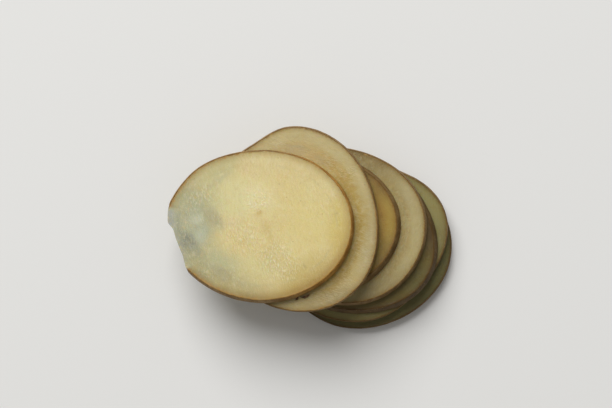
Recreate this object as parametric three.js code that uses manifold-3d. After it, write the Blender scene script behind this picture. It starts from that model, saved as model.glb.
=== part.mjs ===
// A potato cut by hand into slices, which still lie on one another in a fanned pile.
// Millimetres, +Z up.  The origin is at the middle of the pile's base.
//
// Every slice lies on the upper cut of the one below.  No two cuts are quite parallel, so
// each slice is a little thicker towards one side and the pile leans up that way.

import * as THREE from "three";
import { mergeVertices } from "three/addons/utils/BufferGeometryUtils.js";
import Module from "manifold-3d";

const GAP = 0.3; // clearance between a slice and the one it lies on
const STEPS_ROUND = 72; // steps round a slice's edge
const STEPS_UP = 4; // steps up its skin
const SKIN_BOW = 0.25; // how far the skin bows out between the two cuts

// The top slice's left end was trimmed with short strokes of the knife, from a pale nub
// down to where the skin starts again.  The points are given from the slice's middle.
const TRIM_EDGE = [
  [-44.2, 11.8],
  [-43.2, 8.6],
  [-43.4, 6.4],
  [-43.5, 4.4],
  [-43.5, 2.4],
  [-43.2, 0.7],
  [-42.1, -0.6],
  [-40.9, -2],
  [-40.1, -4],
  [-39.5, -6.2],
  [-38.5, -8.8],
  [-37.2, -11.9],
  [-36.1, -14.6],
  [-35.3, -17.6],
  [-34.6, -20.4],
  [-34.2, -23],
];
const TRIM_REACH = 15; // how far this reaches outwards, and above and below the lower cut

// The slices, from the lowest to the highest.
//   shift        the middle, from the middle of the slice below (the first: from the pile's)
//   half         half the length and half the width of the upper cut
//   turn         direction of the long axis, degrees anticlockwise from +X
//   egg, square  three-lobed and four-lobed waves in the outline: [height, direction from the long axis]
//   dent         a shallow hollow in the outline: [depth, direction, degrees to each side]
//   thick        thickness in the middle
//   rise, up     how many degrees the upper cut rises from the lower one, and towards where
//   flare        how many degrees the skin slopes out towards the lower cut: [all round, extra
//                on one side, direction of that side]
//   tone         the flesh's colour
//   trimEdge     the edge that the knife left where it trimmed the slice, if it did
const SLICES = [
  {
    name: "slice_7_bottom",
    shift: [24, -9],
    half: [43.7, 38.1],
    turn: 6,
    egg: [0.02, 27],
    square: [0.01, -30],
    dent: [0.4, 150, 14],
    thick: 5.6,
    rise: 1.2,
    up: -50,
    flare: [3, 4, -40],
    tone: 0xe2d296,
  },
  {
    name: "slice_6",
    shift: [-2.6, 3.7],
    half: [43, 37.9],
    turn: 21,
    egg: [0.015, -11],
    square: [0.024, -3],
    dent: [0.3, 189, 16],
    thick: 5,
    rise: 1,
    up: -20,
    flare: [6, 3, 60],
    tone: 0xe0cf94,
  },
  {
    name: "slice_5",
    shift: [-0.2, 0.8],
    half: [37.6, 34.9],
    turn: 2,
    egg: [0.026, -39],
    square: [0.009, -31],
    dent: [0.4, 120, 15],
    thick: 4.6,
    rise: 0.8,
    up: -70,
    flare: [19, 7, -55],
    tone: 0xd9c384,
  },
  {
    name: "slice_4",
    shift: [-9.7, 6.8],
    half: [42.7, 37],
    turn: -9,
    egg: [0.006, -41],
    square: [0.012, 31],
    dent: [0.6, 206, 14],
    thick: 5.2,
    rise: 1.4,
    up: -30,
    flare: [10, 6, -50],
    tone: 0xe3d59c,
  },
  {
    name: "slice_3",
    shift: [-5.7, 0.5],
    half: [34.3, 31.8],
    turn: -3,
    egg: [0.006, -9],
    square: [0.011, 11],
    dent: [0.4, 160, 16],
    thick: 4.4,
    rise: 0.6,
    up: -60,
    flare: [20, 6, -65],
    tone: 0xdbc587,
  },
  {
    name: "slice_2",
    shift: [-12.7, 1.6],
    half: [44.2, 38.2],
    turn: 101,
    egg: [0.014, -10],
    square: [0.009, 30],
    dent: [2.6, 117, 15],
    thick: 5.2,
    rise: 1.4,
    up: -40,
    flare: [7, 3, 110],
    tone: 0xe5d298,
  },
  {
    name: "slice_1_top",
    shift: [-17, -2.4],
    half: [43.8, 35.1],
    turn: -2.6,
    egg: [0.012, 44],
    square: [0.002, -13],
    dent: [0.9, 155, 13],
    thick: 5,
    rise: 0.6,
    up: -45,
    flare: [12, 4, -100],
    tone: 0xe9dfa9,
    trimEdge: TRIM_EDGE,
  },
];

const radians = THREE.MathUtils.degToRad;
const wasm = await Module();
wasm.setup();

// A wave round the outline with the given number of lobes, at an angle from the long axis.
function wave(lobes, [height, direction], fromLongAxis) {
  return height * Math.cos(lobes * (fromLongAxis - radians(direction)));
}

// A smooth hollow, deepest in its own direction.
function hollow([depth, direction, span], angle) {
  const turned = angle - radians(direction);
  const apart = Math.atan2(Math.sin(turned), Math.cos(turned));
  return depth * Math.exp(-((apart / radians(span)) ** 2));
}

// The distance from a slice's middle to the edge of its upper cut, in direction angle.
function edgeRadius(slice, angle) {
  const fromLongAxis = angle - radians(slice.turn);
  const [halfLength, halfWidth] = slice.half;
  const across = halfLength * Math.sin(fromLongAxis);
  const along = halfWidth * Math.cos(fromLongAxis);
  const ellipse = (halfLength * halfWidth) / Math.hypot(across, along);
  const waves = wave(3, slice.egg, fromLongAxis) + wave(4, slice.square, fromLongAxis);
  return ellipse * (1 + waves) - hollow(slice.dent, angle);
}

// The same at height share level: 0 is the lower cut, 1 the upper one.
function skinRadius(slice, angle, level) {
  const [allRound, extra, side] = slice.flare;
  const slope = Math.tan(radians(allRound + extra * Math.cos(angle - radians(side))));
  const bow = 4 * SKIN_BOW * level * (1 - level);
  return edgeRadius(slice, angle) + slope * slice.thick * (1 - level) + bow;
}

// A cylinder of one unit, bent into the slice.  Its middle is at the lower cut's middle.
function sliceGeometry(slice) {
  const geometry = new THREE.CylinderGeometry(1, 1, 1, STEPS_ROUND, STEPS_UP);
  geometry.rotateX(Math.PI / 2);
  geometry.deleteAttribute("normal");
  geometry.deleteAttribute("uv");
  const merged = mergeVertices(geometry, 1e-4);
  const position = merged.getAttribute("position");
  const riseSlope = Math.tan(radians(slice.rise));
  for (let i = 0; i < position.count; i += 1) {
    const level = position.getZ(i) + 0.5;
    const share = Math.hypot(position.getX(i), position.getY(i));
    const angle = Math.atan2(position.getY(i), position.getX(i));
    const radius = share * skinRadius(slice, angle, level);
    const height = slice.thick + riseSlope * radius * Math.cos(angle - radians(slice.up));
    position.setXYZ(i, radius * Math.cos(angle), radius * Math.sin(angle), level * height);
  }
  return merged;
}

// What the knife took off the trimmed end: all that lies outside the edge it left.
function trimGeometry(edge) {
  const [firstX, firstY] = edge[0];
  const [lastX, lastY] = edge[edge.length - 1];
  const outline = new THREE.Shape();
  outline.moveTo(firstX, firstY);
  outline.splineThru(edge.slice(1).map(([x, y]) => new THREE.Vector2(x, y)));
  outline.lineTo(lastX - TRIM_REACH, lastY - TRIM_REACH);
  outline.lineTo(firstX - TRIM_REACH, firstY);
  const geometry = new THREE.ExtrudeGeometry(outline, {
    depth: 2 * TRIM_REACH,
    bevelEnabled: false,
    curveSegments: 2,
  });
  geometry.translate(0, 0, -TRIM_REACH);
  geometry.deleteAttribute("normal");
  geometry.deleteAttribute("uv");
  return mergeVertices(geometry, 1e-4);
}

function toManifold(geometry) {
  return new wasm.Manifold(
    new wasm.Mesh({
      numProp: 3,
      vertProperties: new Float32Array(geometry.getAttribute("position").array),
      triVerts: new Uint32Array(geometry.getIndex().array),
    }),
  );
}

function fromManifold(solid) {
  const mesh = solid.getMesh();
  const geometry = new THREE.BufferGeometry();
  geometry.setAttribute("position", new THREE.BufferAttribute(mesh.vertProperties, 3));
  geometry.setIndex(new THREE.BufferAttribute(mesh.triVerts, 1));
  return geometry;
}

function cutAway(geometry, cutter) {
  return fromManifold(toManifold(geometry).subtract(toManifold(cutter)));
}

function fleshMaterial(tone) {
  return new THREE.MeshStandardMaterial({ color: tone, roughness: 0.45, metalness: 0 });
}

const pile = new THREE.Group();
let seat = pile; // the flat cut, or at first the table, that the next slice lies on
for (const slice of SLICES) {
  const whole = sliceGeometry(slice);
  const geometry = slice.trimEdge ? cutAway(whole, trimGeometry(slice.trimEdge)) : whole;
  geometry.computeVertexNormals();

  const place = new THREE.Group();
  place.position.set(slice.shift[0], slice.shift[1], 0);
  seat.add(place);

  const mesh = new THREE.Mesh(geometry, fleshMaterial(slice.tone));
  mesh.name = slice.name;
  place.add(mesh);

  const upperCut = new THREE.Group();
  const up = radians(slice.up);
  const hinge = new THREE.Vector3(Math.sin(up), -Math.cos(up), 0);
  upperCut.quaternion.setFromAxisAngle(hinge, radians(slice.rise));
  upperCut.position.set(0, 0, slice.thick);
  upperCut.translateZ(GAP);
  place.add(upperCut);
  seat = upperCut;
}

// Stand the pile's box on the origin.
const box = new THREE.Box3().setFromObject(pile, true);
const middle = box.getCenter(new THREE.Vector3());
pile.position.set(-middle.x, -middle.y, -box.min.z);

export default pile;
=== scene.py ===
# A potato cut by hand into slices that still lie on one another in a fanned pile.
# Each slice is two pieces, its flesh and its band of skin, made between the two cuts of the
# CAD slice.  Lengths are in millimetres until a mesh is written, which is in metres.

import math
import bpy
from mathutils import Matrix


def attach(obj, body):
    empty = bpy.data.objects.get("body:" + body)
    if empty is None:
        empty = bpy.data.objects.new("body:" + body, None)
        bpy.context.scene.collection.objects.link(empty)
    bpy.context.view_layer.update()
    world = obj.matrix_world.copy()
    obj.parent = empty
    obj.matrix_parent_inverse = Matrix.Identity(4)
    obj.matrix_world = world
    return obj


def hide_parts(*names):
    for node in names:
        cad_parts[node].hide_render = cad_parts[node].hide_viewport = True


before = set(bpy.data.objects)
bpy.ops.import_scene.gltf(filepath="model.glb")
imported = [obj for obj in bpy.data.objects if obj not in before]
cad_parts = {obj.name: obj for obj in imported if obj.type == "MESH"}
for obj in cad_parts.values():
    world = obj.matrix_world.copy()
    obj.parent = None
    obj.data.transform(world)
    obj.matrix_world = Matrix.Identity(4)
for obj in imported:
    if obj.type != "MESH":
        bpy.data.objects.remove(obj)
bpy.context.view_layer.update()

from types import SimpleNamespace

import bpy
import numpy as np

FULL_TURN = 2 * math.pi
SAMPLES_ROUND = 1440  # samples of an outline
SAMPLED_AT = np.arange(SAMPLES_ROUND) * FULL_TURN / SAMPLES_ROUND  # and their angles
CUT_NORMAL = 0.95  # least upward or downward part of the normal of a face of a cut
RIM_RADIUS = 10  # a CAD cut's points nearer to its middle than this are not on its rim
INSET = 0.05  # how far the looks stay inside the CAD solids
SKIN_THIN, SKIN_THICK = 0.14, 0.52  # thickness of the skin where it is thinnest and thickest
SKIN_BOW = 0.22  # how far the skin bows out between the two cuts
SKIN_OVERLAP = 0.05  # how far the skin reaches into the flesh
ROUND_OFF, ROUND_WITHIN = 0.09, 0.12  # how far the flesh's edge is rounded off, and over what width
# A slice has a multiple of this many points round it, and a ring of so many or fewer is not halved.
FEWEST_ROUND = 16
LOWER_STEP, LOWER_GAP = 1.3, 0.7  # size of the mesh of a lower cut, and least gap along its rings
AT_ONCE = 4000  # points whose distances are worked out together
SCRAP_THICKNESS = 0.09
PALE = (0.80, 0.80, 0.79)  # the floor and the backdrop
FLOOR_RADIUS, FLOOR_SIDES = 3, 64  # in metres
FLOOR_FADE = (0.8, 2.6)  # where the floor starts to fade into the backdrop, and where it is gone

# What is different from slice to slice.
#   seed      start of its random patterns
#   step      size of its mesh
#   ring      depth of the vascular ring below the skin
#   tan       how brown the ring is, from 0 to 1, partly painted warm shade
#   tint      its flesh's colour, against that of the first slice, darker on the lower slices partly as painted shade
#   level     how light its flesh and its skin are, from 0 to 1, lower down the pile as painted shade
#   skin      how dark and thick its skin is, from 0 to 1
#   waves     height and spacing of the waves that the knife left, and their direction in degrees
SLICES = {
    "slice_1_top": dict(
        seed=11, level=0.86, step=0.42, ring=7.0, tan=0.1, tint=(1, 1, 1), skin=0.8,
        waves=(0.035, 11, 10),
    ),
    "slice_2": dict(
        seed=23, level=0.71, step=0.6, ring=9.4, tan=0.6, tint=(0.91, 0.87, 0.77), skin=0.8,
        waves=(0.04, 12, 70),
    ),
    "slice_3": dict(
        seed=37, level=0.59, step=0.6, ring=7.8, tan=0.9, tint=(0.77, 0.61, 0.20), skin=1.0,
        waves=(0.04, 10, 35),
    ),
    "slice_4": dict(
        seed=41, level=0.64, step=0.6, ring=9.0, tan=0.55, tint=(0.88, 0.85, 0.74), skin=0.9,
        waves=(0.04, 13, -20),
    ),
    "slice_5": dict(
        seed=59, level=0.36, step=0.7, ring=8.5, tan=0.6, tint=(0.61, 0.53, 0.21), skin=1.0,
        waves=(0.04, 12, 50),
    ),
    "slice_6": dict(
        seed=61, level=0.45, step=0.6, ring=9, tan=0.3, tint=(0.80, 0.805, 0.54), skin=0.35,
        waves=(0.04, 12, 0),
    ),
    "slice_7_bottom": dict(
        seed=73, level=0.37, step=0.6, ring=9, tan=0.3, tint=(0.56, 0.585, 0.32), skin=0.6,
        waves=(0.03, 14, 80),
    ),
}

# Places on a slice's cut that differ from the flesh round them, in its own plane: middle,
# half length and half width, direction of the length in degrees, colour and strength.
# A later place lies over an earlier one.
MARKS = {
    "slice_1_top": [
        ((25, 1), (22, 27), 0, (0.80, 0.67, 0.265), 0.75),
        # Darker and warmer towards the lower right and the right edge, away from the light: painted shade.
        ((21, -24), (22, 11), 35, (0.62, 0.485, 0.14), 0.85),
        ((38, -1), (9, 24), 0, (0.70, 0.545, 0.13), 0.75),
        ((-4, 13), (16, 15), 0, (0.86, 0.765, 0.42), 0.7),
        ((-4, -20), (20, 10), 0, (0.73, 0.66, 0.315), 0.75),
        ((-15, 13), (17, 17), 0, (0.76, 0.725, 0.37), 0.7),
        ((-20, -19), (18, 14), -30, (0.525, 0.515, 0.285), 1.0),
        ((-34, 4), (22, 31), 0, (0.43, 0.45, 0.27), 1.0),
        ((-31, -2), (13, 14), 0, (0.46, 0.485, 0.335), 1.0),
        ((-29.5, 2.8), (5, 3.6), 10, (0.60, 0.63, 0.46), 0.8),
        ((-27.5, -4.8), (4.2, 5), 0, (0.54, 0.575, 0.415), 0.8),
        ((-33.6, -8), (10.5, 5.6), -52, (0.19, 0.21, 0.165), 0.9),
        ((-28.8, -12.4), (6.5, 3.0), -25, (0.36, 0.38, 0.26), 0.85),
        ((-30, -20), (16, 9), -50, (0.39, 0.38, 0.21), 0.85),
        ((-39.5, -9), (17, 5.5), -70, (0.355, 0.37, 0.29), 1.0),
        ((-44, 3), (7, 10), 0, (0.37, 0.395, 0.37), 1.0),
        ((-21.5, 3.4), (9.5, 5.0), -45, (0.42, 0.385, 0.22), 0.75),
        ((-12.5, 1.5), (6, 4), 0, (0.76, 0.62, 0.34), 0.6),
        ((-17.5, -23.0), (9, 4.8), -32, (0.37, 0.34, 0.20), 0.75),
        ((3.8, -2.6), (9, 3), -63, (0.68, 0.51, 0.18), 0.65),
        ((0.3, 5.4), (4.2, 3.2), 25, (0.73, 0.56, 0.22), 0.6),
        ((0.1, 5.9), (2.1, 1.4), 25, (0.63, 0.43, 0.10), 0.65),
        ((21.4, -19.2), (2.4, 1.0), -60, (0.54, 0.43, 0.16), 0.8),
        # Darker along the bottom, away from the light: painted shade.
        ((-12, -34), (28, 16), -8, (0.47, 0.42, 0.20), 0.85),
        ((-20, 27), (17, 11), 30, (0.57, 0.54, 0.265), 0.85),
    ],
    "slice_2": [
        ((-2, 33), (11, 3.5), -8, (0.57, 0.46, 0.24), 0.55),
        ((12, 27), (7, 3), -35, (0.50, 0.40, 0.20), 0.45),
        # Darker towards the bottom and the right, away from the light: painted shade.
        ((16, -32), (36, 15), 35, (0.64, 0.50, 0.21), 0.6),
        ((16, -38), (22, 8), 18, (0.42, 0.325, 0.14), 0.75),
        ((35, -8), (32, 12), 90, (0.61, 0.505, 0.24), 0.8),
    ],
    "slice_3": [
        # Darker and ochre where the third slice lies under the edge of the second: painted shade.
        ((22, 5), (9, 20), 0, (0.58, 0.34, 0.06), 0.7),
        ((24, 20), (9, 15), 35, (0.36, 0.215, 0.03), 0.85),
        ((27, -15), (9, 14), -25, (0.34, 0.225, 0.05), 0.75),
    ],
    "slice_4": [
        ((33, 12), (6, 12), 20, (0.60, 0.49, 0.25), 0.4),
        # Darker bands along the top and the bottom: painted shade.
        ((13, 34), (30, 13), -30, (0.32, 0.215, 0.045), 0.9),
        ((20, -31), (26, 9), 36, (0.40, 0.305, 0.12), 0.75),
    ],
    "slice_5": [
        # Dark brown and olive where the fifth slice lies under the edge of the fourth: painted shade.
        ((34.5, 3), (6, 16), 0, (0.31, 0.18, 0.05), 0.9),
        ((30, -20), (12, 9), 40, (0.42, 0.40, 0.13), 0.6),
    ],
    "slice_6": [
        # Darker on the right, in the shade of the pile: painted shade.
        ((41, -3), (10, 24), -5, (0.42, 0.36, 0.14), 0.65),
    ],
}

# Arcs on a cut: middle, radius, where they start and end in degrees anticlockwise from +X,
# half width, colour and strength.
ARCS = {
    "slice_1_top": [
        ((-24.8, 0.8), 13.0, 138, 265, 1.9, (0.32, 0.33, 0.25), 0.7),
        ((-26.0, 1.2), 9.4, 120, 190, 1.2, (0.38, 0.395, 0.29), 0.5),
        ((-2.0, -2.0), 29.0, 108, 165, 1.9, (0.52, 0.50, 0.30), 0.5),
        ((-2.0, -0.5), 27.6, 208, 278, 2.0, (0.48, 0.44, 0.26), 0.55),
    ],
    "slice_2": [
        # Ochre along the edge of the top slice, partly the vascular ring and partly painted warm shade from
        # the top slice.
        ((-4, -2), 33.0, -86, 74, 7.4, (0.57, 0.385, 0.045), 1.0),
        ((-8, -5.4), 36.2, -62, 52, 3.6, (0.44, 0.275, 0.03), 0.75),
    ],
    "slice_4": [
        # Darker along the edge of the third slice above it: painted shade.
        ((0, -1), 32.2, -62, 66, 4.8, (0.45, 0.335, 0.10), 0.75),
    ],
}

# Where the streaks across the vascular ring are plainest, on a slice where they fade elsewhere:
# middle, half length and half width, direction of the length in degrees.
STREAKS = {
    "slice_2": ((28, 13), (30, 20), 70),
    "slice_4": ((30, 8), (28, 16), 80),
}

# The first slice has no skin between these directions, in degrees, and the skin thins out
# over this much on either side of them.
BARE_FROM, BARE_TO = 168.5, 211.5
BARE_BLEND = 1.5

# Scraps of peel on the second slice: middle on the pile, direction of the length in degrees,
# length and width.
SCRAPS = [
    ((-7.3, -32.0), 62, 2.4, 1.0),
    ((-3.4, -31.2), 16, 4.8, 1.0),
]


# ---------------------------------------------------------------- patterns

def lattice(x, y, z, seed):
    """A fixed random number from 0 to 1 for each point with whole coordinates."""
    # the large primes mix the bits of the coordinates
    mask = np.uint64(0xFFFFFFFF)
    h = (
        x.astype(np.uint64) * np.uint64(374761393)
        + y.astype(np.uint64) * np.uint64(668265263)
        + z.astype(np.uint64) * np.uint64(2246822519)
        + np.uint64(seed * 3266489917)
    ) & mask
    h = ((h ^ (h >> np.uint64(15))) * np.uint64(2246822519)) & mask
    h = ((h ^ (h >> np.uint64(13))) * np.uint64(3266489917)) & mask
    return ((h ^ (h >> np.uint64(16))) & np.uint64(0xFFFF)).astype(float) / 65535


def noise(points, size, seed):
    """Smooth noise from -1 to 1 with blobs about this size, at the given points."""
    q = points / size + 1000.5
    cell = np.floor(q)
    f = q - cell
    f = f * f * (3 - 2 * f)
    total = np.zeros(len(points))
    for corner in range(8):
        d = np.array([corner & 1, corner >> 1 & 1, corner >> 2 & 1])
        weight = np.where(d, f, 1 - f).prod(axis=1)
        x, y, z = (cell + d).T
        total += weight * lattice(x, y, z, seed)
    return total * 2 - 1


def smooth_step(x, low, high):
    """0 up to the low value and 1 from the high one, with a smooth rise between them."""
    t = np.clip((x - low) / (high - low), 0, 1)
    return t * t * (3 - 2 * t)


# ---------------------------------------------------------------- the CAD slices

def blur_round(values, degrees):
    """The values of a closed outline, smoothed over this many degrees."""
    steps = np.fft.rfftfreq(len(values), 1 / len(values))
    fading = np.exp(-0.5 * (steps * math.radians(degrees)) ** 2)
    return np.fft.irfft(np.fft.rfft(values) * fading, len(values))


def read_slice(node):
    """The frame, the two cuts and the two outlines of a CAD slice."""
    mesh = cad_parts[node].data
    normals = np.empty(len(mesh.polygons) * 3)
    areas = np.empty(len(mesh.polygons))
    points = np.empty(len(mesh.vertices) * 3)
    mesh.polygons.foreach_get("normal", normals)
    mesh.polygons.foreach_get("area", areas)
    mesh.vertices.foreach_get("co", points)
    normals = normals.reshape(-1, 3)
    points = points.reshape(-1, 3) * 1000
    cuts = []
    for side in (1, -1):
        facing = normals[:, 2] * side > CUT_NORMAL
        normal = side * (normals[facing] * areas[facing, None]).sum(axis=0)
        corners = sorted({v for p in np.flatnonzero(facing) for v in mesh.polygons[int(p)].vertices})
        cuts.append((normal / np.linalg.norm(normal), np.unique(points[corners].round(4), axis=0)))
    (upper_normal, upper), (lower_normal, lower) = cuts
    up = upper_normal + lower_normal
    up /= np.linalg.norm(up)
    along = np.array([1, 0, 0]) - up[0] * up
    along /= np.linalg.norm(along)
    axes = np.array([along, np.cross(up, along), up])
    flat = upper @ axes.T
    origin = (flat.min(axis=0) + flat.max(axis=0)) / 2 @ axes
    found = SimpleNamespace(axes=axes, origin=origin)
    for name, rim, normal in (("upper", upper, upper_normal), ("lower", lower, lower_normal)):
        local = (rim - origin) @ axes.T
        n = axes @ normal
        setattr(found, name, (n, float(np.median(local @ n))))
        angles = np.arctan2(local[:, 1], local[:, 0])
        radii = np.hypot(local[:, 0], local[:, 1])
        order = [i for i in np.argsort(angles) if radii[i] > RIM_RADIUS]
        outline = np.interp(SAMPLED_AT, angles[order], radii[order], period=FULL_TURN)
        setattr(found, name + "_outline", outline)
    return found


def height(cut, x, y):
    """The height of a cut above or below the middle of the slice."""
    n, level = cut
    return (level - n[0] * x - n[1] * y) / n[2]


def at(outline, angles):
    """The radii of an outline at these angles."""
    return np.interp(angles, SAMPLED_AT, outline, period=FULL_TURN)


# ---------------------------------------------------------------- meshes

def join_rings(counts):
    """The faces between rings of points, of which each has as many as the last one, half or twice."""
    faces = []
    starts = np.concatenate([[0], np.cumsum(counts)])
    for k in range(len(counts) - 1):
        a, n, b, m = int(starts[k]), counts[k], int(starts[k + 1]), counts[k + 1]
        if n == 1:
            faces += [(a, b + i, b + (i + 1) % m) for i in range(m)]
        elif m == 1:
            faces += [(a + i, b, a + (i + 1) % n) for i in range(n)]
        elif n == m:
            faces += [(a + i, b + i, b + (i + 1) % m, a + (i + 1) % n) for i in range(n)]
        elif m == 2 * n:
            for i in range(n):
                p, q, r = b + 2 * i, b + 2 * i + 1, b + (2 * i + 2) % m
                faces += [(a + i, p, q), (a + i, q, a + (i + 1) % n), (q, r, a + (i + 1) % n)]
        else:
            for i in range(m):
                p, q, r = a + 2 * i, a + 2 * i + 1, a + (2 * i + 2) % n
                faces += [(p, b + i, q), (q, b + i, b + (i + 1) % m), (q, b + (i + 1) % m, r)]
    return faces


def make_piece(name, points, faces, attributes, material, node=None):
    """Writes a mesh, in metres, that rides on the pile."""
    mesh = bpy.data.meshes.new(name)
    mesh.from_pydata((points / 1000).tolist(), [], faces)
    mesh.polygons.foreach_set("use_smooth", [True] * len(mesh.polygons))
    for key, values in attributes.items():
        kind, field = ("FLOAT", "value") if values.ndim == 1 else ("FLOAT_VECTOR", "vector")
        layer = mesh.attributes.new(key, kind, "POINT")
        layer.data.foreach_set(field, values.ravel().astype(np.float32))
    mesh.materials.append(material)
    mesh.update()
    piece = bpy.data.objects.new(name, mesh)
    bpy.context.scene.collection.objects.link(piece)
    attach(piece, "root")
    if node:
        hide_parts(node)


def ring_radii(step, outer):
    """Distances from the rim inwards of the rings of a cut, close together near the rim."""
    depths = [0, 0.1, 0.25, 0.5]
    while depths[-1] < outer - step:
        depths.append(depths[-1] + min(step, depths[-1] * 0.6))
    return depths


def dish(seed, waves, points):
    """How far a cut surface lies below the CAD cut."""
    rise, spacing, degrees = waves
    turn = math.radians(degrees)
    along = points[:, 0] * math.cos(turn) + points[:, 1] * math.sin(turn)
    sway = noise(points, 26, seed) * 5
    depth = rise * (1 + np.sin((along + sway) * FULL_TURN / spacing + seed))
    depth += 0.035 * (1 + noise(points, 7, seed + 1))
    depth += 0.01 * (1 + noise(points, 1.6, seed + 2))
    return depth


class Slice:
    """The shape of one slice: its flesh, and the skin round it."""

    def __init__(self, node, spec):
        self.node = node
        self.spec = SimpleNamespace(**spec)
        self.found = read_slice(node)
        self.trimmed = node == "slice_1_top"
        blur = 0.5 if self.trimmed else 1.6  # less on the first slice, to keep the corners of its trim
        self.upper = blur_round(self.found.upper_outline, blur)
        self.lower = blur_round(self.found.lower_outline, blur)
        self.mean = self.upper.mean()
        groups = round(self.mean * FULL_TURN / self.spec.step / FEWEST_ROUND)
        self.columns = int(groups) * FEWEST_ROUND
        self.angles = np.arange(self.columns) * FULL_TURN / self.columns
        # how much of the skin there is: 1, and 0 where the knife trimmed it off
        self.covered = np.ones(self.columns)
        if self.trimmed:
            degrees = np.degrees(self.angles)
            started = smooth_step(degrees, BARE_FROM - BARE_BLEND, BARE_FROM + BARE_BLEND)
            ended = smooth_step(degrees, BARE_TO - BARE_BLEND, BARE_TO + BARE_BLEND)
            self.covered = 1 - started * (1 - ended)

    def skin_share(self, theta):
        return np.interp(theta, self.angles, self.covered, period=FULL_TURN)

    def side_point(self, theta, t, depth, drop=0.0):
        """A point of the side at a share t of the way down, this deep below the CAD surface."""
        ru, rl = at(self.upper, theta), at(self.lower, theta)
        r = ru + (rl - ru) * t + SKIN_BOW * np.sin(np.pi * np.clip(t, 0, 1)) - INSET - depth
        x, y = r * np.cos(theta), r * np.sin(theta)
        top = height(self.found.upper, x, y) - INSET
        bottom = height(self.found.lower, x, y) + INSET
        z = top + (bottom - top) * t - drop
        return np.stack([x, y, z], axis=1)

    def bumps(self, theta, t):
        """How far the potato's own surface dips below the CAD surface."""
        base, seed = self.side_point(theta, t, 0.0), self.spec.seed
        dips = 0.09 * (1 + noise(base, 9, seed + 5)) + 0.05 * (1 + noise(base, 2.6, seed + 6))
        return dips + 0.02 * (1 + noise(base, 0.9, seed + 7))

    def skin_thickness(self, theta):
        """The skin's thickness at these angles, down to 0 where it was trimmed off."""
        rim, seed = self.side_point(theta, np.zeros(len(theta)), 0.0), self.spec.seed
        uneven = 0.5 + 0.35 * noise(rim, 6, seed + 12) + 0.45 * noise(rim, 1.9, seed + 13)
        thick = SKIN_THIN + (SKIN_THICK - SKIN_THIN) * np.clip(uneven, 0, 1)
        return thick * (0.55 + 0.45 * self.spec.skin) * self.skin_share(theta)

    def under_skin(self, theta, t):
        """A point of the flesh's side."""
        return self.side_point(theta, t, self.bumps(theta, t) + self.skin_thickness(theta))

    def cut_ring(self, count, depth, upward):
        """A ring of points of the upper or the lower cut, this far from the rim."""
        seed = self.spec.seed
        if upward:
            cut, sign, strength = self.found.upper, 1, 1.0
        else:
            cut, sign, seed, strength = self.found.lower, -1, seed + 50, 0.5
        theta = np.arange(count) * FULL_TURN / count
        ring = self.under_skin(theta, np.full(count, 0.0 if upward else 1.0))
        ring[:, :2] *= 1 - depth / self.mean
        flat = np.stack([ring[:, 0], ring[:, 1], np.zeros(count)], axis=1)
        round_off = ROUND_OFF * math.exp(-depth / ROUND_WITHIN)
        away = dish(seed, self.spec.waves, flat) * strength * min(1, depth / 0.5)
        ring[:, 2] = height(cut, ring[:, 0], ring[:, 1]) - sign * (INSET + round_off + away)
        return ring

    def count_at(self, depth, gap):
        """How many points a ring has, with at least this gap between them."""
        count = self.columns
        while count > FEWEST_ROUND and (self.mean - depth) * FULL_TURN / count < gap:
            count //= 2
        return count

    def rim_distances(self, points):
        """The true distances of points from the outline, which the looks go by."""
        radii = at(self.upper, self.angles)
        outline = np.stack([radii * np.cos(self.angles), radii * np.sin(self.angles)], axis=1)
        distances = np.empty(len(points))
        for i in range(0, len(points), AT_ONCE):
            gap = points[i : i + AT_ONCE, None, :2] - outline[None]
            distances[i : i + AT_ONCE] = np.sqrt((gap ** 2).sum(axis=2).min(axis=1))
        return distances

    def to_world(self, points):
        return points @ self.found.axes + self.found.origin

    def build_flesh(self, material):
        """The upper cut from its middle outwards, the side, and the lower cut to its middle."""
        rings, depths = [], []

        def add(points, depth):
            rings.append(points)
            depths.append(depth)

        add(np.array([[0, 0, height(self.found.upper, 0, 0) - INSET - 0.1]]), self.mean)
        for depth in reversed(ring_radii(self.spec.step, self.mean * 0.985)):
            add(self.cut_ring(self.count_at(depth, self.spec.step * 0.55), depth, True), depth)
        steps_down = 12 if self.trimmed else 8
        for k in range(1, steps_down):
            add(self.under_skin(self.angles, np.full(self.columns, k / steps_down)), 0.0)
        for depth in ring_radii(LOWER_STEP, self.mean * 0.97):
            count = max(self.count_at(depth, LOWER_GAP), len(rings[-1]) // 2)
            add(self.cut_ring(count, depth, False), depth)
        add(np.array([[0, 0, height(self.found.lower, 0, 0) + INSET + 0.05]]), self.mean)

        counts = [len(ring) for ring in rings]
        local = np.concatenate(rings)
        inside = np.repeat(depths, counts) > 0
        edge = np.zeros(len(local))
        edge[inside] = self.rim_distances(local[inside])
        way = np.arctan2(local[:, 1], local[:, 0]) % FULL_TURN
        attributes = {"edge_mm": edge, "cut_mm": local, "bare": 1 - self.skin_share(way)}
        points, faces = self.to_world(local), join_rings(counts)
        make_piece(self.node + "_flesh", points, faces, attributes, material, self.node)

    def build_skin(self, material):
        """A thin band round the flesh, closed at its two ends where the knife trimmed it."""
        order = np.arange(self.columns)
        if self.trimmed:
            skinned = np.flatnonzero(self.covered > 0.02)
            gap = np.flatnonzero(np.diff(skinned) > 1)[0] + 1
            order = np.concatenate([skinned[gap:], skinned[:gap]])
        theta = self.angles[order]
        count = len(theta)
        thick = self.skin_thickness(theta)
        base, seed = self.side_point(theta, np.zeros(count), 0.0), self.spec.seed
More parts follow.
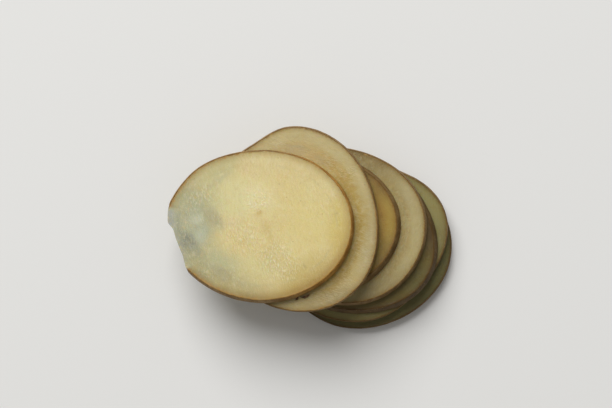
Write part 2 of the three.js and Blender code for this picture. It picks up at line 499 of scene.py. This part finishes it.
        # how far the upper edge of the skin is nicked
        nick = np.clip(noise(base, 2.2, seed + 9) - 0.62, 0, 1) * 2.4
        nick += 0.04 * (1 + noise(base, 1.1, seed + 10))
        rows = 14 if self.trimmed else 10
        outer, inner = [], []
        for k in range(rows + 1):
            t = np.full(count, k / rows)
            dips = self.bumps(theta, t)
            edge_round = 0.06 * (math.exp(-k / 0.6) + math.exp(-(rows - k) / 0.6))
            sink = nick * (1 - k / rows) ** 2
            outer.append(self.side_point(theta, t, dips + edge_round, sink))
            inner.append(self.side_point(theta, t, dips + SKIN_OVERLAP + np.maximum(thick, 0.04), sink))
        loop = outer + inner[::-1]
        around = len(loop)
        points = np.concatenate(loop)
        shares = np.arange(rows + 1) / rows
        down = np.repeat(np.concatenate([shares, shares[::-1]]), count)
        faces = []
        last = count - 1 if self.trimmed else count
        for k in range(around):
            a, b = k * count, (k + 1) % around * count
            faces += [(a + i, b + i, b + (i + 1) % count, a + (i + 1) % count) for i in range(last)]
        if self.trimmed:
            for end, flip in ((0, False), (count - 1, True)):
                for k in range(rows):
                    o1, o2 = k * count + end, (k + 1) * count + end
                    i1, i2 = (around - 1 - k) * count + end, (around - 2 - k) * count + end
                    face = (o1, i1, i2, o2)
                    faces.append(face[::-1] if flip else face)
        attributes = {"down": down, "side_mm": points}
        make_piece(self.node + "_skin", self.to_world(points), faces, attributes, material)


# ---------------------------------------------------------------- materials

class Nodes:
    """Builds a node material."""

    def __init__(self, name):
        self.material = bpy.data.materials.new(name)
        self.material.use_nodes = True
        self.tree = self.material.node_tree
        self.tree.nodes.clear()

    def add(self, kind, inputs=(), **settings):
        """A new node, with each input either linked or set."""
        node = self.tree.nodes.new("ShaderNode" + kind)
        for key, value in settings.items():
            setattr(node, key, value)
        for key, value in dict(inputs).items():
            if isinstance(value, bpy.types.NodeSocket):
                self.tree.links.new(value, node.inputs[key])
            else:
                node.inputs[key].default_value = value
        return node

    def calc(self, operation, a, b=0.0, c=0.0):
        return self.add("Math", {0: a, 1: b, 2: c}, operation=operation).outputs[0]

    def times(self, first, *others):
        """The product of these numbers."""
        for other in others:
            first = self.calc("MULTIPLY", first, other)
        return first

    def most(self, first, *others):
        """The largest of these numbers."""
        for other in others:
            first = self.calc("MAXIMUM", first, other)
        return first

    def vector(self, operation, a, b=(0, 0, 0)):
        return self.add("VectorMath", {0: a, 1: b}, operation=operation).outputs["Vector"]

    def length(self, vector):
        return self.add("VectorMath", {0: vector}, operation="LENGTH").outputs["Value"]

    def across(self, vector):
        """The vector's X."""
        return self.add("SeparateXYZ", {0: vector}).outputs["X"]

    def attribute(self, name, output="Fac"):
        return self.add("Attribute", attribute_name=name).outputs[output]

    def noise(self, vector, scale, detail=2.0, rough=0.5, distortion=0.0):
        inputs = {"Vector": vector, "Scale": scale, "Detail": detail}
        inputs.update({"Roughness": rough, "Distortion": distortion})
        return self.add("TexNoise", inputs).outputs["Fac"]

    def span(self, value, low, high, to_low=0.0, to_high=1.0, smooth=True):
        """The value, moved from the range low to high to another range and kept inside it."""
        inputs = {"Value": value, "From Min": low, "From Max": high, "To Min": to_low, "To Max": to_high}
        kind = "SMOOTHSTEP" if smooth else "LINEAR"
        return self.add("MapRange", inputs, interpolation_type=kind).outputs["Result"]

    def mix(self, share, a, b, blend="MIX"):
        """The colour a with this share of the colour b."""
        node = self.add("Mix", data_type="RGBA", blend_type=blend)
        for key, value in ((0, share), (6, a), (7, b)):
            if isinstance(value, bpy.types.NodeSocket):
                self.tree.links.new(value, node.inputs[key])
            else:
                node.inputs[key].default_value = (*value, 1) if key else value
        return node.outputs[2]

    def move(self, vector, scale, offset=(0, 0, 0)):
        inputs = {"Vector": vector, "Location": offset, "Scale": scale}
        return self.add("Mapping", inputs).outputs["Vector"]

    def turn(self, vector, degrees):
        """The vector, turned back about Z by this angle."""
        inputs = {"Vector": vector, "Angle": math.radians(-degrees)}
        return self.add("VectorRotate", inputs).outputs[0]

    def near(self, vector, centre, radii, turn=0.0):
        """1 at a place on the cut, falling to 0 at these distances from it."""
        turned = self.turn(self.vector("SUBTRACT", vector, (*centre, 0)), turn)
        shrunk = self.move(turned, (1 / radii[0], 1 / radii[1], 0))
        return self.span(self.length(shrunk), 1.0, 0.2)

    def arc(self, vector, centre, radius, start, end, half_width):
        """1 along an arc on the cut, falling to 0 at its sides and its ends."""
        turned = self.turn(self.vector("SUBTRACT", vector, (*centre, 0)), (start + end) / 2)
        length = self.length(self.vector("MULTIPLY", turned, (1, 1, 0)))
        off = self.calc("ABSOLUTE", self.calc("SUBTRACT", length, radius))
        parts = self.add("SeparateXYZ", {0: turned}).outputs
        angle = self.calc("ABSOLUTE", self.calc("ARCTAN2", parts["Y"], parts["X"]))
        reach = math.radians((end - start) / 2)
        return self.times(self.span(off, half_width, 0.0), self.span(angle, reach, reach * 0.55))

    def ramp(self, value, stops):
        """A colour ramp.  The first two stops are its two ends."""
        node = self.add("ValToRGB", {"Fac": value})
        elements = node.color_ramp.elements
        for k, (place, colour) in enumerate(stops):
            element = elements[k] if k < 2 else elements.new(place)
            element.position = place
            element.color = (*colour, 1)
        return node.outputs["Color"]

    def finish(self, shader):
        """The material, with this shader as its surface."""
        output = self.add("OutputMaterial")
        self.tree.links.new(shader.outputs[0], output.inputs["Surface"])
        return self.material


def scaled(colour, tint):
    """A colour times a tint, as three numbers."""
    return tuple(c * t for c, t in zip(colour, tint))


def flesh_material(name, spec):
    s = SimpleNamespace(**spec)
    n = Nodes(name + "_flesh")
    first = name == "slice_1_top"
    edge = n.attribute("edge_mm")
    bare = n.attribute("bare")
    place = n.attribute("cut_mm", "Vector")
    shifted = n.vector("ADD", place, (s.seed * 7.0, s.seed * 3.0, 0))

    # the layers from the skin inwards
    wander = n.noise(shifted, 0.11, 2, 0.5)
    depth = n.calc("SUBTRACT", n.calc("MULTIPLY_ADD", wander, 2.6, edge), 1.3)
    reach = 22.0  # depth at which the ramp ends
    cortex = scaled((0.80, 0.70, 0.375), s.tint)
    inner = scaled((0.80, 0.665, 0.295), s.tint)
    ring_tone = scaled((0.78 - 0.08 * s.tan, 0.655 - 0.19 * s.tan, 0.31 - 0.18 * s.tan), s.tint)
    just_in = scaled((0.79 - 0.06 * s.tan, 0.66 - 0.15 * s.tan, 0.29 - 0.14 * s.tan), s.tint)
    colour = n.ramp(
        n.calc("DIVIDE", depth, reach),
        [
            (0.0, cortex),
            (1.0, inner),
            (max(s.ring - 3.4, 1) / reach, cortex),
            ((s.ring - 0.4) / reach, ring_tone),
            ((s.ring + 2.2) / reach, ring_tone),
            (min(s.ring + 6.0, 21) / reach, just_in),
        ],
    )

    # broad clouds, then the places and arcs that differ
    cloud = n.noise(shifted, 0.06, 3, 0.55, 0.8)
    colour = n.mix(n.span(cloud, 0.46, 0.68, 0, 0.35), colour, scaled((0.85, 0.76, 0.42), s.tint))
    colour = n.mix(n.span(cloud, 0.52, 0.3, 0, 0.35), colour, scaled((0.73, 0.58, 0.24), s.tint))
    for centre, radii, turn, tone, strength in MARKS.get(name, ()):
        ragged = n.noise(shifted, 0.2 if radii[1] > 5 else 0.5, 3, 0.6)
        rough = n.span(ragged, 0.25, 0.6, strength * 0.7, strength)
        colour = n.mix(n.times(n.near(place, centre, radii, turn), rough), colour, tone)
    for centre, radius, start, end, half_width, tone, strength in ARCS.get(name, ()):
        ragged = n.noise(shifted, 0.45, 3, 0.6)
        rough = n.span(ragged, 0.3, 0.6, strength * 0.35, strength)
        bent = n.span(n.noise(shifted, 0.14, 2), 0.2, 0.8, -1.6, 1.6, False)
        moved = n.vector("ADD", place, n.add("CombineXYZ", {"X": bent}).outputs[0])
        arc = n.arc(moved, centre, radius, start, end, half_width)
        colour = n.mix(n.times(arc, rough), colour, tone)

    # streaks that cross the vascular ring, and the ring's own thin grey line
    flat = n.vector("MULTIPLY", place, (1, 1, 0))
    way = n.add("VectorMath", {0: flat}, operation="NORMALIZE").outputs[0]
    way = n.add("VectorMath", {0: way, "Scale": 40.0}, operation="SCALE").outputs[0]
    along = n.add("CombineXYZ", {"Z": n.times(edge, 0.3)}).outputs[0]
    streaks = n.noise(n.vector("ADD", way, along), 0.8, 3, 0.55, 0.4)
    patches = n.span(n.noise(shifted, 0.13, 2), 0.4, 0.58)
    outer_side = n.span(depth, s.ring - 3.4, s.ring - 0.6)
    inner_side = n.span(depth, s.ring + 5.5, s.ring + 1.2)
    on_ring = n.times(outer_side, inner_side)
    amount = n.times(n.span(streaks, 0.48, 0.62), on_ring, 0.12 + 0.5 * s.tan, patches)
    if name in STREAKS:
        there = n.span(n.near(place, *STREAKS[name]), 0.0, 1.0, 0.3, 1.5, False)
        amount = n.times(amount, there)
    colour = n.mix(amount, colour, scaled((0.53, 0.34, 0.10), s.tint))
    pale = n.times(n.span(streaks, 0.46, 0.32), on_ring, 0.1 * s.tan)
    colour = n.mix(pale, colour, scaled((0.84, 0.72, 0.38), s.tint))
    line = n.times(n.span(depth, s.ring - 0.8, s.ring), n.span(depth, s.ring + 0.9, s.ring))
    line = n.times(line, n.span(n.noise(shifted, 0.09, 2), 0.42, 0.6), 0.3)
    colour = n.mix(line, colour, scaled((0.52, 0.49, 0.28), s.tint))

    # blotches and small specks
    blotch = n.noise(shifted, 0.33, 3, 0.65)
    colour = n.mix(n.span(blotch, 0.56, 0.72, 0, 0.34), colour, scaled((0.66, 0.50, 0.20), s.tint))
    colour = n.mix(n.span(blotch, 0.45, 0.28, 0, 0.3), colour, scaled((0.88, 0.79, 0.48), s.tint))
    specks = n.add("TexVoronoi", {"Vector": shifted, "Scale": 0.3}, feature="F1")
    speck = n.span(specks.outputs["Distance"], 0.14, 0.05)
    chosen = n.add("SeparateColor", {0: specks.outputs["Color"]}).outputs[0]
    speck = n.times(speck, n.span(chosen, 0.72, 0.8, 0, 0.6))
    colour = n.mix(speck, colour, scaled((0.48, 0.34, 0.13), s.tint))

    # torn cells along the knife's way, with painted shade in the hollows beside them, starch and fine grain
    turned = n.turn(shifted, s.waves[2])
    fibre = n.noise(n.move(turned, (1.15, 0.3, 1)), 1.0, 3, 0.6)
    dashes = n.noise(n.move(turned, (1.0, 0.32, 1), (9, 4, 0)), 1.7, 2, 0.55)
    torn_place = n.span(n.noise(shifted, 0.08, 2, 0.5), 0.42, 0.62, 0, 0.6 if first else 0.3)
    ripple = 0.0
    if first:  # three torn places, and ripples left of the middle
        torn_place = n.most(
            n.times(torn_place, 0.35),
            n.near(place, (9, -17), (17, 12), -42),
            n.times(n.near(place, (-7, -6), (17, 12), -30), 0.65),
            n.times(n.near(place, (-27, 14), (12, 7), 30), 0.5),
        )
        off = n.vector("SUBTRACT", place, (-7.5, 11.5, 0))
        far = n.length(n.vector("MULTIPLY", off, (1, 0.7, 0)))
        far = n.calc("ADD", far, n.span(n.noise(shifted, 0.35, 2), 0.2, 0.8, -2.0, 2.0, False))
        crest = n.span(n.calc("SINE", n.times(far, 3.2)), -0.1, 1.0)
        broken = n.span(n.noise(shifted, 0.5, 2), 0.42, 0.6, 0.3, 1.0)
        ripple = n.times(crest, broken, n.near(place, (-1, 11.5), (9, 8), 0))
    torn = n.most(n.times(n.span(dashes, 0.5, 0.66), torn_place), ripple)
    hollow = n.times(n.span(dashes, 0.5, 0.36), torn_place)
    colour = n.mix(n.times(torn, 0.7), colour, scaled((0.98, 0.92, 0.66), s.tint))
    colour = n.mix(n.times(hollow, 0.28), colour, scaled((0.60, 0.46, 0.16), s.tint))
    colour = n.mix(n.span(fibre, 0.52, 0.3, 0, 0.26), colour, scaled((0.66, 0.53, 0.23), s.tint))
    colour = n.mix(n.span(fibre, 0.5, 0.72, 0, 0.2), colour, scaled((0.90, 0.81, 0.50), s.tint))
    cells = n.add("TexVoronoi", {"Vector": shifted, "Scale": 2.3}, feature="F1").outputs["Distance"]
    grain = n.noise(shifted, 3.0, 3, 0.7)
    colour = n.mix(n.span(grain, 0.42, 0.72, 0.0, 0.22, False), colour, scaled((0.95, 0.88, 0.60), s.tint))
    colour = n.mix(n.span(grain, 0.5, 0.25, 0.0, 0.18, False), colour, scaled((0.62, 0.48, 0.19), s.tint))

    # painted shade: darker and warmer towards the skin, with tan specks just inside it
    skinned = n.calc("SUBTRACT", 1.0, bare)
    painted_shade_wide = n.times(n.span(edge, 9.0, 1.0, 0, 0.45 if first else 0.15), skinned)
    if first:  # painted shade, more so on the lower right, away from the lamp
        lower_right = n.near(place, (22, -26), (62, 42), -32)
        painted_shade_wide = n.times(painted_shade_wide, n.calc("MULTIPLY_ADD", lower_right, 1.5, 0.5))
    colour = n.mix(painted_shade_wide, colour, (0.78, 0.66, 0.45), "MULTIPLY")
    painted_shade_narrow = n.times(n.span(edge, 5.0 if first else 3.2, 0.0, 0, 0.95), skinned)
    colour = n.mix(painted_shade_narrow, colour, (0.74, 0.64, 0.47), "MULTIPLY")
    rim_noise = n.noise(shifted, 0.75, 3, 0.6)
    fringe = n.span(n.calc("ADD", n.times(edge, 0.16), rim_noise), 0.68, 0.46)
    fringe = n.times(fringe, n.span(edge, 3.0, 0.3), skinned, 0.65)
    colour = n.mix(fringe, colour, scaled((0.58, 0.36, 0.10), s.tint))
    if first:  # browner all along the edge on the left
        left = n.span(n.across(place), 4.0, -16.0)
        browned = n.calc("MULTIPLY_ADD", edge, 0.2, rim_noise)
        browned = n.times(n.span(browned, 0.95, 0.5), n.span(edge, 3.2, 0.5), left, skinned, 0.85)
        colour = n.mix(browned, colour, (0.50, 0.27, 0.08))
    close = n.calc("SUBTRACT", n.calc("MULTIPLY_ADD", rim_noise, 1.6, edge), 0.8)
    inmost = n.times(n.span(close, 1.5, 0.2, 0, 0.8), skinned)
    colour = n.mix(inmost, colour, scaled((0.50, 0.27, 0.055), s.tint))
    # painted shade: the lower the slice in the pile, the darker its flesh
    colour = n.mix(1.0, colour, (s.level, s.level, s.level), "MULTIPLY")

    # the surface: fine grain, and torn cells that stand out from it
    fine = n.calc("ADD", n.times(cells, 0.4), n.times(grain, 0.7))
    fine = n.calc("ADD", fine, n.times(fibre, 0.9))
    normal = n.add("Bump", {"Height": fine, "Strength": 0.6, "Distance": 0.00016}).outputs[0]
    rough_cut = n.calc("SUBTRACT", torn, n.times(hollow, 0.6))
    bump = {"Height": rough_cut, "Strength": 0.6, "Distance": 0.00025, "Normal": normal}
    normal = n.add("Bump", bump).outputs[0]
    wet = n.span(n.noise(shifted, 0.35, 3, 0.6), 0.3, 0.7, 0.33, 0.5)
    shader = n.add(
        "BsdfPrincipled",
        {
            "Base Color": colour,
            "Roughness": wet,
            "Normal": normal,
            "Specular IOR Level": 0.4,
            "Subsurface Weight": 0.6,
            "Subsurface Radius": (1.0, 0.6, 0.22),
            "Subsurface Scale": 0.004,
        },
    )
    return n.finish(shader)


def skin_material(name, spec):
    n = Nodes(name + "_skin")
    seed, dark, level = spec["seed"], spec["skin"], spec["level"]
    own = [(1.02 - 0.43 * dark) * level] * 3  # painted shade: dims the skin's own two tones on a slice lower in the pile
    shade = 0.3 + 0.81 * level
    # painted shade: dims what lies on them on a slice lower in the pile, and makes it browner there
    dim = (shade, shade * (0.86 + 0.16 * level), shade * (0.36 + 0.74 * level))
    place = n.attribute("side_mm", "Vector")
    shifted = n.vector("ADD", place, (seed * 5.0, seed * 11.0, 0))
    tone = n.span(n.noise(shifted, 0.16, 3, 0.6), 0.34, 0.66)
    colour = n.mix(tone, scaled((0.35, 0.19, 0.048), own), scaled((0.60, 0.375, 0.135), own))
    mottle = n.noise(shifted, 0.8, 3, 0.6)
    colour = n.mix(n.span(mottle, 0.5, 0.7, 0, 0.55), colour, scaled((0.17, 0.088, 0.024), dim))
    net = n.noise(shifted, 2.1, 4, 0.65, 0.6)
    colour = n.mix(n.span(net, 0.52, 0.68, 0, 0.6), colour, scaled((0.12, 0.06, 0.016), dim))
    scurf = n.noise(shifted, 5.0, 3, 0.7)
    colour = n.mix(n.span(scurf, 0.5, 0.72, 0, 0.4), colour, scaled((0.46, 0.335, 0.16), dim))
    spots = n.add("TexVoronoi", {"Vector": shifted, "Scale": 0.45}, feature="F1").outputs["Distance"]
    spot = n.span(spots, 0.17, 0.09)
    ring = n.times(n.span(spots, 0.30, 0.2), n.span(spots, 0.1, 0.2), 0.4)
    colour = n.mix(ring, colour, scaled((0.15, 0.08, 0.022), dim))
    colour = n.mix(n.times(spot, 0.7), colour, scaled((0.50, 0.36, 0.17), dim))
    from_middle = n.calc("ABSOLUTE", n.calc("SUBTRACT", n.attribute("down"), 0.5))
    by_the_cuts = n.span(n.times(from_middle, 2.0), 0.9, 1.0)
    patchy = n.span(mottle, 0.35, 0.6, 0.1, 0.2 + 0.6 * dark)
    colour = n.mix(n.times(by_the_cuts, patchy), colour, scaled((0.18, 0.095, 0.018), dim))
    if name == "slice_1_top":  # redder, and a little lighter towards the right as painted light on the side away from the lamp
        right = n.span(n.across(place), 5.0, 32.0)
        colour = n.mix(right, colour, (1.4, 1.2, 0.75), "MULTIPLY")
    bump = n.calc("ADD", n.times(net, -0.6), n.times(scurf, 0.3))
    bump = n.calc("ADD", bump, n.times(spot, 0.4))
    normal = n.add("Bump", {"Height": bump, "Strength": 0.6, "Distance": 0.0002}).outputs[0]
    rough = n.span(net, 0.3, 0.7, 0.55, 0.8)
    shader = n.add(
        "BsdfPrincipled",
        {"Base Color": colour, "Roughness": rough, "Normal": normal, "Specular IOR Level": 0.22},
    )
    return n.finish(shader)


def scrap_material():
    n = Nodes("scrap")
    place = n.attribute("side_mm", "Vector")
    tone = n.noise(place, 1.3, 3, 0.6)
    colour = n.mix(n.span(tone, 0.35, 0.65), (0.07, 0.034, 0.010), (0.20, 0.10, 0.03))
    normal = n.add("Bump", {"Height": tone, "Strength": 0.5, "Distance": 0.0002}).outputs[0]
    shader = n.add("BsdfPrincipled", {"Base Color": colour, "Roughness": 0.6, "Normal": normal})
    return n.finish(shader)


# ---------------------------------------------------------------- the pile

def build_scrap(number, found, spec, material):
    """A thin curled scrap of peel that lies on a cut."""
    (x, y), degrees, length, width = spec
    turn = math.radians(degrees)
    long_way = np.array([math.cos(turn), math.sin(turn)])
    wide_way = np.array([-long_way[1], long_way[0]])
    count, across = 14, 5  # points along it and across it
    points, faces = [], []
    for side in (1, -1):  # the upper side, then the lower one
        for i in range(count):
            share = i / (count - 1) * 2 - 1
            half = width / 2 * max(0.12, 1 - abs(share) ** 2.5) * (1 + 0.2 * math.sin(5 * i + number))
            for k in range(across):
                over = k / (across - 1) * 2 - 1
                bend = 0.18 * length * (share ** 2 - 0.3)
                spot = np.array([x, y]) + long_way * length / 2 * share + wide_way * (half * over + bend)
                lift = 0.10 + 0.3 * share ** 2 + 0.22 * over ** 2 + 0.05 * math.sin(3 * i + 2 * k)
                points.append([*spot, lift + (SCRAP_THICKNESS if side > 0 else 0)])

    def index(lower, i, k):
        return lower * count * across + i * across + k

    for i in range(count - 1):
        for k in range(across - 1):
            quad = [(i, k), (i + 1, k), (i + 1, k + 1), (i, k + 1)]
            faces.append(tuple(index(0, *c) for c in quad))
            faces.append(tuple(index(1, *c) for c in quad[::-1]))
    loop = [(i, 0) for i in range(count)] + [(count - 1, k) for k in range(1, across)]
    loop += [(i, across - 1) for i in range(count - 2, -1, -1)] + [(0, k) for k in range(across - 2, 0, -1)]
    for a, b in zip(loop, loop[1:] + loop[:1]):
        faces.append((index(1, *a), index(1, *b), index(0, *b), index(0, *a)))
    # laid on the cut
    points = np.array(points)
    n, level = found.upper
    normal = n @ found.axes
    offset = level + normal @ found.origin
    points[:, 2] += (offset - normal[0] * points[:, 0] - normal[1] * points[:, 1]) / normal[2]
    make_piece(f"scrap_{number}", points, faces, {"side_mm": points}, material)


for node, spec in SLICES.items():
    shape = Slice(node, spec)
    shape.build_flesh(flesh_material(node, spec))
    shape.build_skin(skin_material(node, spec))
    if node == "slice_2":
        peel = scrap_material()
        for number, scrap in enumerate(SCRAPS, 1):
            build_scrap(number, shape.found, scrap, peel)


# ---------------------------------------------------------------- stage, light and camera

def make_floor():
    """A round pale floor that fades into the backdrop."""
    n = Nodes("floor")
    gone = n.span(n.length(n.add("TexCoord").outputs["Object"]), *FLOOR_FADE)
    plain = {"Base Color": (*PALE, 1), "Roughness": 0.9, "Specular IOR Level": 0.1}
    shader = n.add("BsdfPrincipled", plain)
    clear = n.add("BsdfTransparent")
    blend = n.add("MixShader", {0: gone, 1: shader.outputs[0], 2: clear.outputs[0]})
    angles = [k * FULL_TURN / FLOOR_SIDES for k in range(FLOOR_SIDES)]
    rim = [(FLOOR_RADIUS * math.cos(a), FLOOR_RADIUS * math.sin(a), 0) for a in angles]
    mesh = bpy.data.meshes.new("floor")
    mesh.from_pydata(rim, [], [tuple(range(FLOOR_SIDES))])
    mesh.materials.append(n.finish(blend))
    floor = bpy.data.objects.new("floor", mesh)
    bpy.context.scene.collection.objects.link(floor)


def make_world(light, seen):
    """A world that gives off one colour of light and shows another to the camera."""
    world = bpy.data.worlds.new("studio")
    world.use_nodes = True
    tree = world.node_tree
    tree.nodes.clear()
    soft = tree.nodes.new("ShaderNodeBackground")
    soft.inputs["Color"].default_value = (*light, 1)
    back = tree.nodes.new("ShaderNodeBackground")
    back.inputs["Color"].default_value = (*seen, 1)
    rays = tree.nodes.new("ShaderNodeLightPath")
    mix = tree.nodes.new("ShaderNodeMixShader")
    output = tree.nodes.new("ShaderNodeOutputWorld")
    tree.links.new(rays.outputs["Is Camera Ray"], mix.inputs[0])
    tree.links.new(soft.outputs[0], mix.inputs[1])
    tree.links.new(back.outputs[0], mix.inputs[2])
    tree.links.new(mix.outputs[0], output.inputs["Surface"])
    bpy.context.scene.world = world


def make_lamp(name, azimuth, elevation, distance, size, power, colour):
    """A round soft lamp that shines on the pile from this direction, in degrees."""
    lamp = bpy.data.lights.new(name, "AREA")
    lamp.shape = "DISK"
    lamp.size = size
    lamp.energy = power
    lamp.color = colour
    holder = bpy.data.objects.new(name, lamp)
    a, e = math.radians(azimuth), math.radians(elevation)
    towards = np.array([math.cos(a) * math.cos(e), math.sin(a) * math.cos(e), math.sin(e)])
    holder.location = tuple(towards * distance)
    holder.rotation_mode = "QUATERNION"
    holder.rotation_quaternion = holder.location.to_track_quat("Z", "Y")
    bpy.context.scene.collection.objects.link(holder)


make_floor()
make_world((0.27, 0.266, 0.257), PALE)
make_lamp("key", azimuth=110, elevation=46, distance=4.0, size=3.0, power=164.0, colour=(1.0, 0.995, 0.985))

# a camera that looks straight down
camera = bpy.data.cameras.new("camera")
camera.sensor_width = 36
camera.lens = 84.04
camera.clip_start = 0.01
holder = bpy.data.objects.new("camera", camera)
holder.location = (-0.0031, 0.012, 0.7)
bpy.context.scene.collection.objects.link(holder)
bpy.context.scene.camera = holder
bpy.context.scene.view_settings.view_transform = "Standard"
